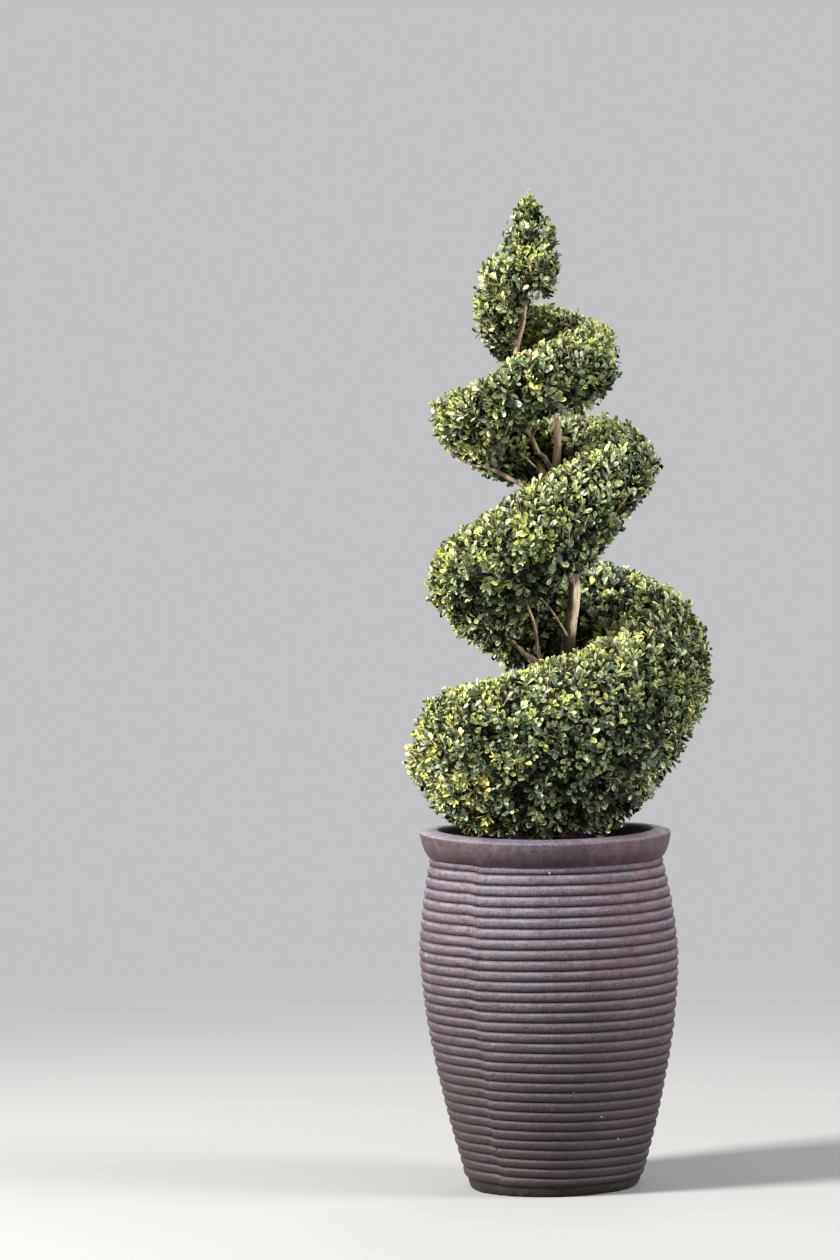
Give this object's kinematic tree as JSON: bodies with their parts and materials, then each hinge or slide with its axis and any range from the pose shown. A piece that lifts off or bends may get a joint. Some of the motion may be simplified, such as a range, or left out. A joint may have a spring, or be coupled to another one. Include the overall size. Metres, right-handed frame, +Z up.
{
  "type": "spiral topiary boxwood in a pot",
  "caption": "Boxwood clipped as a spiral that winds down round a bare trunk, in a tall barrel-shaped ceramic jar with ribs round it, for a doorway or a terrace.",
  "frame": {"origin": "centre of the jar's flat underside, at floor level", "axes": "+Z up along the jar's axis and the plant; -Y is the front, which faces the picture's viewer; +X is to that viewer's right"},
  "size_m": [0.5057, 0.4764, 1.6948],
  "materials": {
    "pot": "matte",
    "soil": "matte",
    "bark": "matte",
    "leaves": "satin"
  },
  "bodies": {
    "root": {"pot": "pot", "soil": "soil", "trunk": "bark", "bough_turn_2_right": "bark", "bough_turn_2_front": "bark", "bough_turn_2_left": "bark", "bough_turn_2_back": "bark", "bough_turn_3_right": "bark", "bough_turn_3_front": "bark", "bough_turn_3_left": "bark", "bough_turn_3_back": "bark", "bough_turn_4_right": "bark", "bough_turn_4_front": "bark", "bough_turn_4_left": "bark", "bough_turn_4_back": "bark", "foliage_turn_1_right": "leaves", "foliage_turn_1_front": "leaves", "foliage_turn_1_left": "leaves", "foliage_turn_1_back": "leaves", "foliage_turn_2_right": "leaves", "foliage_turn_2_front": "leaves", "foliage_turn_2_left": "leaves", "foliage_turn_2_back": "leaves", "foliage_turn_3_right": "leaves", "foliage_turn_3_front": "leaves", "foliage_turn_3_left": "leaves", "foliage_turn_3_back": "leaves", "foliage_turn_4_right": "leaves", "foliage_turn_4_front": "leaves", "foliage_turn_4_left": "leaves", "foliage_turn_4_back": "leaves", "foliage_tip": "leaves"}
  },
  "joints": []
}
